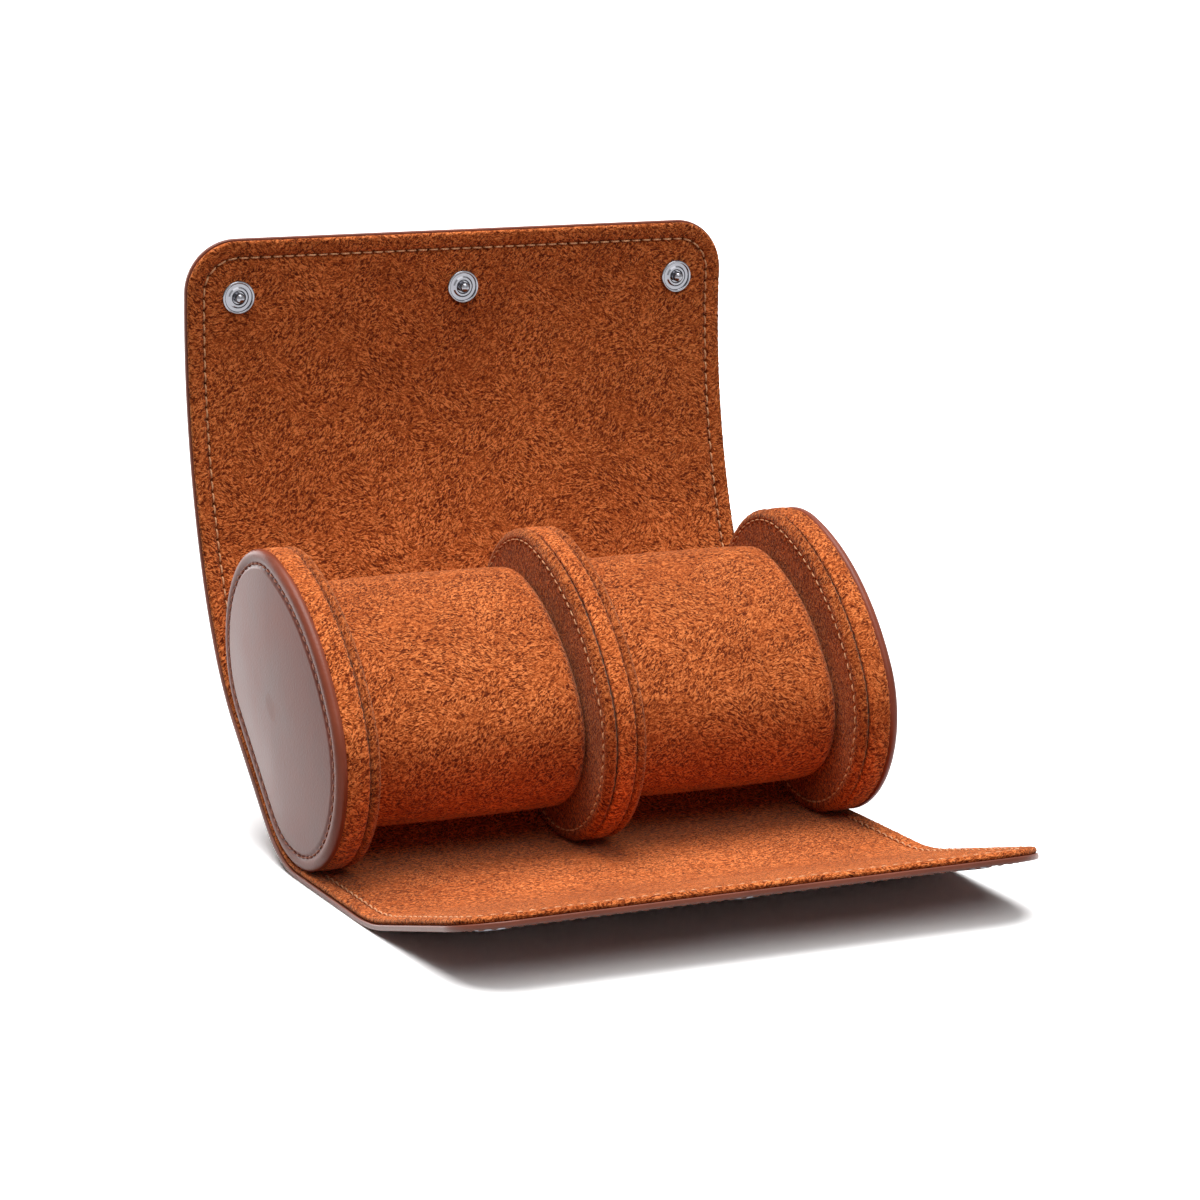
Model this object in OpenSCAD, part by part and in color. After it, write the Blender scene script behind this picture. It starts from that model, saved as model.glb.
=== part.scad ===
// Travel roll for two watches, shown open as in the photograph.
// Three upright walls stand on a wrap of leather lined with suede.
// The wrap reaches forward as a front flap and up behind as a rear flap,
// and each flap bends along four fold lines so that it can close round
// the walls, where three studs enter three sockets.
// X runs across the roll, Y from front to back and Z up, in millimetres.
// The origin is on the ground under the middle of the open roll.

/* [Case] */
// Width across the two end walls
case_w = 170; // [150:1:190]
// Thickness of the outer leather
leather_t = 1.6; // [1.2:0.1:2]
// Thickness of the suede lining
lining_t = 1.6; // [1.2:0.1:2]
// How far the lining stops short of the leather at each side
lining_step = 0.4; // [0.2:0.1:1]

/* [Walls] */
// Radius of the low front end of a wall
low_r = 31.6; // [26:0.1:36]
// Radius of the high back end of a wall
high_r = 29.8; // [24:0.1:34]
// Radius of the gently bowed front of a wall
bow_r = 75; // [60:1:120]
// Distance between the centres of the two ends
ends_apart = 34.2; // [28:0.1:42]
// Lean of the walls' long axis above the ground
lean = 42; // [35:1:50]
// Thickness of an end wall
end_t = 13; // [10:0.2:16]
// Thickness of the divider
divider_t = 12.4; // [10:0.2:16]

/* [Pillows] */
// How far a pillow's outline lies inside a wall's outline
strap_gap = 10.5; // [8:0.5:14]
// Clearance between a pillow's end and the wall beside it
pillow_play = 0.35; // [0.2:0.05:1]
// Radius round the edge of a pillow's end
pillow_edge_r = 3; // [2:0.5:5]

/* [Flaps] */
// Radius of a flap's free corners
corner_r = 15; // [10:1:20]
// Rise of the front flap beyond its crease
crease = 15; // [0:1:20]
// Free play left at each fold line
fold_play = 0.2; // [0.1:0.05:0.4]
// How far the rear flap can lean further back than in the photograph
lean_back = 15; // [0:1:20]

/* [Snaps] */
// Distance from a side snap to the side edge of the wrap
snap_in = 15.4; // [10:0.1:25]
// Distance from the studs to the rear flap's free edge
stud_in = 16.5; // [12:0.5:20]
// Distance from the sockets to the front flap's free edge
socket_in = 19.5; // [12:0.5:24]
// Radius of a stud's flange
stud_r = 4.8; // [4:0.1:6]
// Radius of a socket's cap
socket_r = 5.2; // [4.5:0.1:6.5]
// Radius of the ball that snaps into the socket
ball_r = 1.5; // [1.3:0.05:1.6]

/* [Hidden] */
$fn = 96;
wrap_t = leather_t + lining_t;
// The front of the open roll reaches further than its back, so the walls
// stand this far behind the origin.
back_shift = 27.2;

// Lengths of the wrap between its fold lines, with how far each bends
// upward at rest.  The first rear length belongs to the base.
front_len = [22, 22, 22, 44.3];
front_fold = [0, 0, crease, 0];
rear_len = [22, 23, 23, 24, 48];
rear_turn = [17, 10, 7, 7, 15];
base_front = 8;

// Centres of the wall outline's arcs, in the plane of a wall.
along = [cos(lean), sin(lean)];
across = [-sin(lean), cos(lean)];
seat_slope = 0.5;
low_c = [back_shift - 12, wrap_t + low_r];
high_c = low_c + ends_apart * along + (high_r - low_r + seat_slope) * across;
centre_gap = norm(high_c - low_c);
centre_dir = atan2(high_c[1] - low_c[1], high_c[0] - low_c[0]);
low_reach = bow_r - low_r;
high_reach = bow_r - high_r;
foot = (centre_gap ^ 2 + low_reach ^ 2 - high_reach ^ 2) / (2 * centre_gap);
drop = sqrt(low_reach ^ 2 - foot ^ 2);
bow_c = low_c + foot * [cos(centre_dir), sin(centre_dir)]
    + drop * [sin(centre_dir), -cos(centre_dir)];
// Directions in which the arcs meet each other and the flat seat.
low_dir = atan2(low_c[1] - bow_c[1], low_c[0] - bow_c[0]);
high_dir = atan2(high_c[1] - bow_c[1], high_c[0] - bow_c[0]);
seat_dir = centre_dir - acos((low_r - high_r) / centre_gap);
seat_out = [cos(seat_dir), sin(seat_dir)];
seat_len = sqrt(centre_gap ^ 2 - (low_r - high_r) ^ 2);

// Makeup of the walls, from the outside of an end wall inward.
welt_w = 2.4;
face_t = 2.8;
face_crown = 1.2;
face_low = 1.5;
band_t = 1.5;
rim_t = 3.1;
rim_r = 2.4;
seam = 0.4;

// Makeup of the pillows.
sleeve_t = 1.2;
sleeve_turn = 9;
bay_w = (case_w - 2 * end_t - divider_t) / 2;
bay_x = divider_t / 2 + bay_w / 2;
pillow_len = bay_w - 2 * pillow_play;

// Makeup of the snaps.  A stud's flat flange is lifted clear of the curve
// of the rear flap.
snap_apart = case_w / 2 - snap_in;
stud_lift = stud_r ^ 2 * PI * rear_turn[4] / 360 / rear_len[4];
bead_r = 0.4;
dish_t = 0.25;
ring_r = 2.4;
ring_t = 0.6;
post_r = 1.2;
ball_top = 3;
cap_t = 1.2;
bore_r = 2.1;
tube_r = 2.6;
disc_t = 0.6;
disc_r = 4.4;
spring_r = 0.22;

suede = [0.66, 0.31, 0.14];
suede_dark = [0.58, 0.26, 0.11];
leather = [0.27, 0.13, 0.10];
leather_edge = [0.36, 0.16, 0.10];
board = [0.55, 0.48, 0.38];
foam = [0.82, 0.80, 0.74];
chrome = [0.78, 0.79, 0.82];

// A place on the wrap's inner face is [y, z, heading].  Following a length
// of wrap that bends upward by turn gives the place at its far end.
function follow(p, len, turn) =
    let (chord = turn == 0 ? len
        : 2 * len * 180 / (PI * turn) * sin(turn / 2))
    [p[0] + chord * cos(p[2] + turn / 2),
     p[1] + chord * sin(p[2] + turn / 2), p[2] + turn];
function folded(p, angle) = [p[0], p[1], p[2] + angle];

base_start = [low_c[0] - base_front, wrap_t, 0];
base_low = follow(base_start, base_front, 0);
base_seat = follow(base_low, low_r * lean * PI / 180, lean);
base_rise = follow(base_seat, ends_apart, 0);
rear_1 = follow(base_rise, rear_len[0], rear_turn[0]);
rear_2 = follow(rear_1, rear_len[1], rear_turn[1]);
rear_3 = follow(rear_2, rear_len[2], rear_turn[2]);
rear_4 = follow(rear_3, rear_len[3], rear_turn[3]);
REAR = [rear_1, rear_2, rear_3, rear_4];
// The front flap is drawn in a mirrored frame, heading forward.
front_1 = folded([-base_start[0], base_start[1], 0], front_fold[0]);
front_2 = folded(follow(front_1, front_len[0], 0), front_fold[1]);
front_3 = folded(follow(front_2, front_len[1], 0), front_fold[2]);
front_4 = folded(follow(front_3, front_len[2], 0), front_fold[3]);
FRONT = [front_1, front_2, front_3, front_4];

// Puts a child drawn at the origin, heading along +Y, at a place.
module at(p) {
    translate([0, p[0], p[1]])
        rotate([p[2], 0, 0])
            children();
}

// A strip of wrap that heads along +Y and lies between two depths below
// its inner face.
module strip(len, turn, top, bottom, w) {
    if (turn == 0)
        translate([-w / 2, 0, -bottom])
            cube([w, len, bottom - top]);
    else
        let (r = len * 180 / (PI * turn))
        translate([0, 0, r])
            rotate([0, 90, 0])
                rotate_extrude(angle = turn)
                    translate([r + top, -w / 2])
                        square([bottom - top, w]);
}

// Takes the two corners off the free end of a flap.
module corner_cut(w, r) {
    for (side = [0, 1])
        mirror([side, 0, 0])
            translate([w / 2 - r, -r, -wrap_t - 2])
                linear_extrude(wrap_t + 4)
                    difference() {
                        square(r + 2);
                        circle(r = r);
                    }
}

module snap_places() {
    for (x = [-1, 0, 1])
        translate([x * snap_apart, 0, 0])
            children();
}

// One layer of the base, from the first front fold to the first rear fold.
// The lengths overlap a little, so that they join into one solid.
module base_layer(top, bottom, w) {
    lap = 0.02;
    at(base_start) strip(base_front + lap, 0, top, bottom, w);
    at(base_low) strip(low_r * lean * PI / 180, lean, top, bottom, w);
    at(base_seat)
        translate([0, -lap, 0])
            strip(ends_apart + 2 * lap, 0, top, bottom, w);
    at(base_rise) strip(rear_len[0], rear_turn[0], top, bottom, w);
}

// One layer of rear flap piece i, less the play at its fold line.  The first
// piece is bevelled so that it can lean back.
module rear_layer(i, top, bottom, w) {
    at(REAR[i])
        difference() {
            strip(rear_len[i + 1], rear_turn[i + 1], top, bottom, w);
            translate([-w, -1, -2 * wrap_t])
                cube([2 * w, 1 + fold_play, 3 * wrap_t]);
            if (i == 0)
                rotate([lean_back, 0, 0])
                    translate([-w, -wrap_t, -2 * wrap_t])
                        cube([2 * w, wrap_t + fold_play, 3 * wrap_t]);
        }
}

module front_layer(i, top, bottom, w) {
    mirror([0, 1, 0])
        at(FRONT[i])
            translate([0, fold_play, 0])
                strip(front_len[i] - fold_play, 0, top, bottom, w);
}

// The free ends, with rounded corners and with room for the snaps.
module rear_tip(top, bottom, w, r) {
    difference() {
        rear_layer(3, top, bottom, w);
        at(rear_end) corner_cut(w, r);
        at(stud_place) snap_places() children();
    }
}

module front_tip(top, bottom, w, r) {
    difference() {
        front_layer(3, top, bottom, w);
        mirror([0, 1, 0]) at(front_end) corner_cut(w, r);
        mirror([0, 1, 0]) at(socket_place) snap_places() children();
    }
}

rear_end = follow(rear_4, rear_len[4], rear_turn[4]);
front_end = follow(front_4, front_len[3], 0);
stud_place = follow(rear_4, rear_len[4] - stud_in,
    rear_turn[4] * (rear_len[4] - stud_in) / rear_len[4]);
socket_place = follow(front_4, front_len[3] - socket_in, 0);
leather_w = case_w;
lining_w = case_w - 2 * lining_step;
lining_corner = corner_r - lining_step;

module base_leather() {
    color(leather) base_layer(lining_t, wrap_t, leather_w);
}

module base_lining() {
    color(suede) base_layer(0, lining_t, lining_w);
}

module rear_leather(i) {
    color(leather)
        if (i == 4)
            rear_tip(lining_t, wrap_t, leather_w, corner_r)
                translate([0, 0, -lining_t - disc_t])
                    cylinder(h = disc_t + 1, r = disc_r);
        else
            rear_layer(i - 1, lining_t, wrap_t, leather_w);
}

module rear_lining(i) {
    color(suede)
        if (i == 4)
            rear_tip(0, lining_t, lining_w, lining_corner)
                translate([0, 0, -wrap_t])
                    cylinder(h = wrap_t + 1, r = post_r);
        else
            rear_layer(i - 1, 0, lining_t, lining_w);
}

module front_leather(i) {
    color(leather)
        if (i == 4)
            front_tip(lining_t, wrap_t, leather_w, corner_r)
                translate([0, 0, -wrap_t - 1])
                    cylinder(h = wrap_t + 1, r = tube_r);
        else
            front_layer(i - 1, lining_t, wrap_t, leather_w);
}

module front_lining(i) {
    color(suede)
        if (i == 4)
            front_tip(0, lining_t, lining_w, lining_corner)
                translate([0, 0, -lining_t - 1])
                    cylinder(h = disc_t + 1, r = disc_r);
        else
            front_layer(i - 1, 0, lining_t, lining_w);
}

// The outline of a wall, or one inset from it, in the plane of the wall.
module outline(inset) {
    low = low_r - inset;
    high = high_r - inset;
    translate(low_c) circle(r = low);
    translate(high_c) circle(r = high);
    polygon([low_c, low_c + low * seat_out, high_c + high * seat_out, high_c]);
    intersection() {
        translate(bow_c) circle(r = bow_r - inset);
        polygon([low_c, high_c,
            bow_c + 2 * bow_r * [cos(high_dir), sin(high_dir)],
            bow_c + 2 * bow_r * [cos(low_dir), sin(low_dir)]]);
    }
}

// Stands a piece drawn in the plane of a wall upright, at x.
module upright(x) {
    translate([x, 0, 0])
        rotate([90, 0, 90])
            children();
}

// The same outline as points, for the padded pieces.
function arc_points(c, r, from, to, first, last, n) =
    [for (k = [first : last])
        let (a = from + (to - from) * k / n)
        c + r * [cos(a), sin(a)]];
function outline_points(inset) = concat(
    arc_points(low_c, low_r - inset, low_dir, seat_dir + 360, 0, 20, 20),
    arc_points(high_c, high_r - inset, seat_dir, high_dir, 0, 19, 19),
    arc_points(bow_c, bow_r - inset, high_dir, low_dir, 1, 5, 6));

// A solid that runs through a list of levels, each [height, inset].
module levels(list) {
    n = len(outline_points(0));
    m = len(list);
    points = [for (l = list) for (p = outline_points(l[1])) [p[0], p[1], l[0]]];
    sides = [for (j = [0 : m - 2]) for (i = [0 : n - 1])
        let (k = (i + 1) % n)
        [j * n + i, (j + 1) * n + i, (j + 1) * n + k, j * n + k]];
    ends = [[for (i = [0 : n - 1]) i],
            [for (i = [n - 1 : -1 : 0]) (m - 1) * n + i]];
    polyhedron(points, concat(sides, ends), 4);
}

// A padded slab of the outline, with its edge rounded at each end by the
// given radii, in steps.
module padded(inset, h, r_first, r_last) {
    steps = 3;
    levels(concat(
        [for (k = [0 : steps]) let (a = 90 * k / steps)
            [r_first * (1 - cos(a)), inset + r_first * (1 - sin(a))]],
        [for (k = [steps : -1 : 0]) let (a = 90 * k / steps)
            [h - r_last * (1 - cos(a)), inset + r_last * (1 - sin(a))]]));
}

// A suede face whose rim is rounded on its free side.
module padded_face() {
    padded(0, rim_t, 0.3, rim_r);
}

module wall_band(from, to) {
    translate([0, 0, from])
        linear_extrude(to - from)
            difference() {
                outline(0);
                outline(band_t);
            }
}

module wall_core(from, to) {
    translate([0, 0, from])
        linear_extrude(to - from)
            outline(band_t);
}

// The pieces of an end wall, drawn from its outer face inward.  The face
// swells gently towards its middle.
module end_face() {
    inset = welt_w + 0.05;
    steps = 5;
    levels(concat(
        [for (k = [steps : -1 : 0]) let (a = 90 * k / steps)
            [face_low - face_crown * sin(a),
             inset + (high_r - 8) * (1 - cos(a))]],
        [[face_t, inset]]));
}

// A rolled edge of leather round the end face.
module end_welt() {
    difference() {
        padded(0, face_t, 1.3, 0.8);
        translate([0, 0, -1])
            linear_extrude(face_t + 2)
                polygon(outline_points(welt_w));
    }
}

module left_face() {
    color(leather) upright(-case_w / 2) end_face();
}

module left_welt() {
    color(leather_edge) upright(-case_w / 2) end_welt();
}

module left_band() {
    color(suede)
        upright(-case_w / 2)
            wall_band(face_t, end_t - rim_t - seam);
}

module left_core() {
    color(board)
        upright(-case_w / 2)
            wall_core(face_t, end_t - rim_t);
}

module left_inner() {
    color(suede_dark)
        upright(end_t - rim_t - case_w / 2)
            padded_face();
}

module right_face() {
    mirror([1, 0, 0]) left_face();
}

module right_welt() {
    mirror([1, 0, 0]) left_welt();
}

module right_band() {
    mirror([1, 0, 0]) left_band();
}

module right_core() {
    mirror([1, 0, 0]) left_core();
}

module right_inner() {
    mirror([1, 0, 0]) left_inner();
}

divider_half = divider_t / 2 - rim_t;

module divider_band() {
    color(suede)
        upright(0)
            wall_band(seam - divider_half, divider_half - seam);
}

module divider_core() {
    color(board)
        upright(0)
            wall_core(-divider_half, divider_half);
}

module divider_right() {
    color(suede_dark)
        upright(divider_half)
            padded_face();
}

module divider_left() {
    mirror([1, 0, 0]) divider_right();
}

// A pillow lies along X with one end at zero.  Its sleeve turns over the
// edge of each end, where a cap fills the opening.
module pillow_core() {
    translate([0, 0, sleeve_t])
        padded(strap_gap + sleeve_t, pillow_len - 2 * sleeve_t,
            pillow_edge_r - sleeve_t, pillow_edge_r - sleeve_t);
}

module pillow_sleeve() {
    difference() {
        padded(strap_gap, pillow_len, pillow_edge_r, pillow_edge_r);
        pillow_core();
        translate([0, 0, -1])
            linear_extrude(pillow_len + 2)
                polygon(outline_points(strap_gap + sleeve_turn));
    }
}

module pillow_caps() {
    for (s = [0, pillow_len - sleeve_t])
        translate([0, 0, s])
            linear_extrude(sleeve_t)
                polygon(outline_points(strap_gap + sleeve_turn + 0.05));
}

module pillow_left_core() {
    color(foam) upright(-bay_x - pillow_len / 2) pillow_core();
}

module pillow_left_sleeve() {
    color(suede) upright(-bay_x - pillow_len / 2) pillow_sleeve();
}

module pillow_left_caps() {
    color(suede_dark) upright(-bay_x - pillow_len / 2) pillow_caps();
}

module pillow_right_core() {
    mirror([1, 0, 0]) pillow_left_core();
}

module pillow_right_sleeve() {
    mirror([1, 0, 0]) pillow_left_sleeve();
}

module pillow_right_caps() {
    mirror([1, 0, 0]) pillow_left_caps();
}

// A stud stands on the lining and is riveted to a disc behind it.  Its
// flange is a shallow dish with a bead round it and a ring round the post.
module stud(x) {
    color(chrome)
        at(stud_place)
            translate([x * snap_apart, 0, 0])
                rotate_extrude() {
                    translate([0, -lining_t])
                        square([post_r, lining_t + ball_top - ball_r]);
                    translate([0, stud_lift]) stud_profile();
                }
}

module stud_profile() {
    polygon([[0, 0], [stud_r - bead_r, 0], [stud_r - bead_r, dish_t],
        [ring_r + 0.7, dish_t], [ring_r + 0.25, ring_t],
        [ring_r - 0.25, ring_t], [ring_r - 0.6, dish_t], [0, dish_t]]);
    translate([stud_r - bead_r, bead_r]) circle(r = bead_r);
    intersection() {
        translate([0, ball_top - ball_r]) circle(r = ball_r);
        square([ball_r, ball_top]);
    }
}

module stud_back(x) {
    color(chrome)
        at(stud_place)
            translate([x * snap_apart, 0, -lining_t - disc_t])
                cylinder(h = disc_t, r = disc_r);
}

module in_socket(x) {
    mirror([0, 1, 0])
        at(socket_place)
            translate([x * snap_apart, 0, -wrap_t])
                mirror([0, 0, 1])
                    children();
}

// A socket's cap lies on the leather.  Its bore takes the ball, and a wire
// ring in the groove round the bore grips it.
module socket(x) {
    color(chrome)
        in_socket(x)
            rotate_extrude()
                difference() {
                    union() {
                        translate([bore_r, 0])
                            square([socket_r - bore_r - 0.5, cap_t]);
                        translate([bore_r, 0])
                            square([socket_r - bore_r, cap_t - 0.5]);
                        translate([socket_r - 0.5, cap_t - 0.5])
                            circle(r = 0.5);
                    }
                    translate([0, cap_t / 2 - spring_r])
                        square([bore_r + 2 * spring_r, 2 * spring_r]);
                    translate([3.2, cap_t - 0.3])
                        square([1.2, 1]);
                }
}

module socket_spring(x) {
    color(chrome)
        in_socket(x)
            translate([0, 0, cap_t / 2])
                rotate(20)
                    rotate_extrude(angle = 320)
                        translate([bore_r + spring_r - 0.05, 0])
                            circle(r = spring_r);
}

module socket_back(x) {
    color(chrome)
        in_socket(x)
            translate([0, 0, -leather_t - disc_t])
                difference() {
                    union() {
                        cylinder(h = disc_t, r = disc_r);
                        cylinder(h = disc_t + leather_t, r = tube_r);
                    }
                    translate([0, 0, -1])
                        cylinder(h = disc_t + leather_t + 2, r = bore_r);
                }
}

base_leather();
base_lining();
rear_leather(1);  // rear_leather_1
rear_leather(2);  // rear_leather_2
rear_leather(3);  // rear_leather_3
rear_leather(4);  // rear_leather_4
rear_lining(1);  // rear_lining_1
rear_lining(2);  // rear_lining_2
rear_lining(3);  // rear_lining_3
rear_lining(4);  // rear_lining_4
front_leather(1);  // front_leather_1
front_leather(2);  // front_leather_2
front_leather(3);  // front_leather_3
front_leather(4);  // front_leather_4
front_lining(1);  // front_lining_1
front_lining(2);  // front_lining_2
front_lining(3);  // front_lining_3
front_lining(4);  // front_lining_4
left_face();
left_welt();
left_band();
left_core();
left_inner();
right_face();
right_welt();
right_band();
right_core();
right_inner();
divider_band();
divider_core();
divider_left();
divider_right();
pillow_left_core();
pillow_left_sleeve();
pillow_left_caps();
pillow_right_core();
pillow_right_sleeve();
pillow_right_caps();
stud(-1);  // stud_left
stud(0);  // stud_middle
stud(1);  // stud_right
stud_back(-1);  // stud_back_left
stud_back(0);  // stud_back_middle
stud_back(1);  // stud_back_right
socket(-1);  // socket_left
socket(0);  // socket_middle
socket(1);  // socket_right
socket_spring(-1);  // socket_spring_left
socket_spring(0);  // socket_spring_middle
socket_spring(1);  // socket_spring_right
socket_back(-1);  // socket_back_left
socket_back(0);  // socket_back_middle
socket_back(1);  // socket_back_right
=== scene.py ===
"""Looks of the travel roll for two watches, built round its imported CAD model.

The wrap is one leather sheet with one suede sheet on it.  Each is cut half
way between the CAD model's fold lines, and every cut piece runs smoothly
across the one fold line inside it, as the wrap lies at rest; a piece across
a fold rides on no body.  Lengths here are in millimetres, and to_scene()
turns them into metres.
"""
import math

import bmesh
import bpy
import numpy as np
from mathutils import Matrix, Vector


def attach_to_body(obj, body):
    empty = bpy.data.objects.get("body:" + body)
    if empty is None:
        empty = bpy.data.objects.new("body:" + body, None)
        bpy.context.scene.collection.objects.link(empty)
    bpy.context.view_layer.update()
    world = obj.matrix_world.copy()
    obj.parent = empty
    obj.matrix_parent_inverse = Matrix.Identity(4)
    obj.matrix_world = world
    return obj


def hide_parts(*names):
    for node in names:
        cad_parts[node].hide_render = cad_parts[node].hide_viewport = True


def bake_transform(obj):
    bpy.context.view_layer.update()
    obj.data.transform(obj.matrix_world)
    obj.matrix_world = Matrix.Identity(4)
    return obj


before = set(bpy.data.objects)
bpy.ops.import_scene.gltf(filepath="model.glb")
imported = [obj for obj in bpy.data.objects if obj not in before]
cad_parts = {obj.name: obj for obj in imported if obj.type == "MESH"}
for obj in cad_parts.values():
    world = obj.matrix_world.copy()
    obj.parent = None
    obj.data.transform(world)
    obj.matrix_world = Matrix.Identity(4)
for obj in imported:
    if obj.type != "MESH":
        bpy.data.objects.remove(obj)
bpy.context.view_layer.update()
MM = 0.001

# ---------------------------------------------------------------- camera

# Fitted to the photograph, whose pixels FOCAL_PIXELS and IMAGE_PIXELS count.
CAMERA_AZIMUTH = math.radians(-25.45)
CAMERA_ELEVATION = math.radians(11.78)
CAMERA_ROLL = math.radians(0.5)
CAMERA_DISTANCE = 942.5
CAMERA_SIDE = -39.65
CAMERA_RISE = -131.92
CAMERA_AIM = Vector((0, -86.86, 225.3))
FOCAL_PIXELS = 3833.4
IMAGE_PIXELS = 1200
SENSOR = 36
CLIP_END = 20


def make_camera():
    a, e, r = CAMERA_AZIMUTH, CAMERA_ELEVATION, CAMERA_ROLL
    back = Vector((math.sin(a) * math.cos(e), -math.cos(a) * math.cos(e), math.sin(e)))
    level = Vector((math.cos(a), math.sin(a), 0))
    rise = back.cross(level)
    right = math.cos(r) * level + math.sin(r) * rise
    up = math.cos(r) * rise - math.sin(r) * level
    place = CAMERA_AIM + CAMERA_DISTANCE * back + CAMERA_SIDE * right + CAMERA_RISE * up
    data = bpy.data.cameras.new("camera")
    data.sensor_width = SENSOR
    data.lens = SENSOR * FOCAL_PIXELS / IMAGE_PIXELS
    data.clip_end = CLIP_END
    camera = bpy.data.objects.new("camera", data)
    turn = Matrix((right, up, back)).transposed().to_4x4()
    camera.matrix_world = Matrix.Translation(place * MM) @ turn
    bpy.context.scene.collection.objects.link(camera)
    bpy.context.scene.camera = camera


make_camera()

# ------------------------------------- sizes in mm, as in the CAD source

CASE_W = 170
LEATHER_T = 1.6
LINING_T = 1.6
WRAP_T = LEATHER_T + LINING_T
LINING_STEP = 0.4
CORNER_R = 15
LOW_R = 31.6
HIGH_R = 29.8
BOW_R = 75
ENDS_APART = 34.2
LEAN = math.radians(42)
SEAT_SLOPE = 0.5
END_T = 13
DIVIDER_T = 12.4
FACE_T = 2.8
RIM_T = 3.1
SEAM = 0.4
STRAP_GAP = 10.5
PILLOW_PLAY = 0.35
BACK_SHIFT = 27.2
LOW_C_FORWARD = 12
BASE_FRONT = 8
FRONT_LEN = [22, 22, 22, 44.3]
CREASE = math.radians(15)
# The rear flap as arcs: length, and turn in degrees.
REAR = [(22, 17), (23, 10), (23, 7), (24, 7), (48, 15)]
SNAP_X = (-69.6, 0, 69.6)
SOCKET_IN = 19.5

BASE_LEN = BASE_FRONT + LOW_R * LEAN + ENDS_APART
FRONT_END = -sum(FRONT_LEN)
REAR_END = BASE_LEN + sum(length for length, turn in REAR)
LOW_C = np.array([BACK_SHIFT - LOW_C_FORWARD, WRAP_T + LOW_R])
ALONG = np.array([math.cos(LEAN), math.sin(LEAN)])
ACROSS = np.array([-math.sin(LEAN), math.cos(LEAN)])
HIGH_C = LOW_C + ENDS_APART * ALONG + (HIGH_R - LOW_R + SEAT_SLOPE) * ACROSS


# ------------------------------------------------------------- mesh tools

def to_scene(name, points, faces, materials, picks=None):
    """Makes an object from points in millimetres."""
    mesh = bpy.data.meshes.new(name)
    mesh.from_pydata((np.asarray(points, float) * MM).tolist(), [], faces)
    for m in materials:
        mesh.materials.append(m)
    if picks is not None:
        mesh.polygons.foreach_set("material_index", picks)
    mesh.polygons.foreach_set("use_smooth", [True] * len(mesh.polygons))
    mesh.update()
    piece = bpy.data.objects.new(name, mesh)
    bpy.context.scene.collection.objects.link(piece)
    return piece


def flat_from(piece, first):
    """Shades the faces from this one on flat, with a sharp edge round each."""
    for face in piece.data.polygons[first:]:
        face.use_smooth = False
    sharp = set()
    for face in piece.data.polygons[first:]:
        sharp.update(face.edge_keys)
    for edge in piece.data.edges:
        if edge.key in sharp:
            edge.use_edge_sharp = True


# Six waves in different directions, which together look uneven.
WAVES = [(1.7, 0.4, 0.9), (-0.6, 1.5, 0.5), (0.8, -1.1, 1.4),
         (-1.3, -0.7, 1.2), (0.3, 1.9, -1.0), (1.1, 0.9, -1.7)]


def rough(points, size):
    """Even roughness, mostly from -1 to 1, with bumps about this long."""
    total = 0
    for k, (a, b, c) in enumerate(WAVES):
        reach = a * points[..., 0] + b * points[..., 1] + c * points[..., 2]
        total = total + np.sin(reach * 3.1 / size + 1.9 * k)
    return total / 3


def paint(piece, name, values):
    """Keeps one number per point, for a material to read."""
    layer = piece.data.attributes.new(name, "FLOAT", "POINT")
    layer.data.foreach_set("value", np.asarray(values, np.float32))


def face_outward(piece):
    """Turns every face of a closed piece outward."""
    made = bmesh.new()
    made.from_mesh(piece.data)
    bmesh.ops.recalc_face_normals(made, faces=made.faces)
    made.to_mesh(piece.data)
    made.free()


def grid_faces(rows, columns, flip=False, first=0, wrap=False):
    """Quads over a grid of points that is numbered row by row."""
    faces = []
    across = columns if wrap else columns - 1
    for i in range(rows - 1):
        for j in range(across):
            k = (j + 1) % columns
            low, high = first + i * columns, first + (i + 1) * columns
            quad = [low + j, low + k, high + k, high + j]
            faces.append(quad[::-1] if flip else quad)
    return faces


# ------------------------------------------------------------ the wrap

def arcs(start, parts):
    """Knots along a line of arcs: length so far, y, z, heading, curvature."""
    at, y, z, heading = 0.0, start[0], start[1], 0.0
    knots = []
    for length, turn in parts:
        bend = math.radians(turn) / length
        knots.append((at, y, z, heading, bend))
        after = heading + math.radians(turn)
        if turn:
            y += (math.sin(after) - math.sin(heading)) / bend
            z += (math.cos(heading) - math.cos(after)) / bend
        else:
            y += length * math.cos(heading)
            z += length * math.sin(heading)
        at += length
        heading = after
    return knots


BASE_Y = LOW_C[0] - BASE_FRONT
BACK_KNOTS = arcs((BASE_Y, WRAP_T), [
    (BASE_FRONT, 0), (LOW_R * LEAN, math.degrees(LEAN)), (ENDS_APART, 0), *REAR])
CREASE_AT = FRONT_LEN[0] + FRONT_LEN[1]
CREASE_HALF = 9


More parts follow.
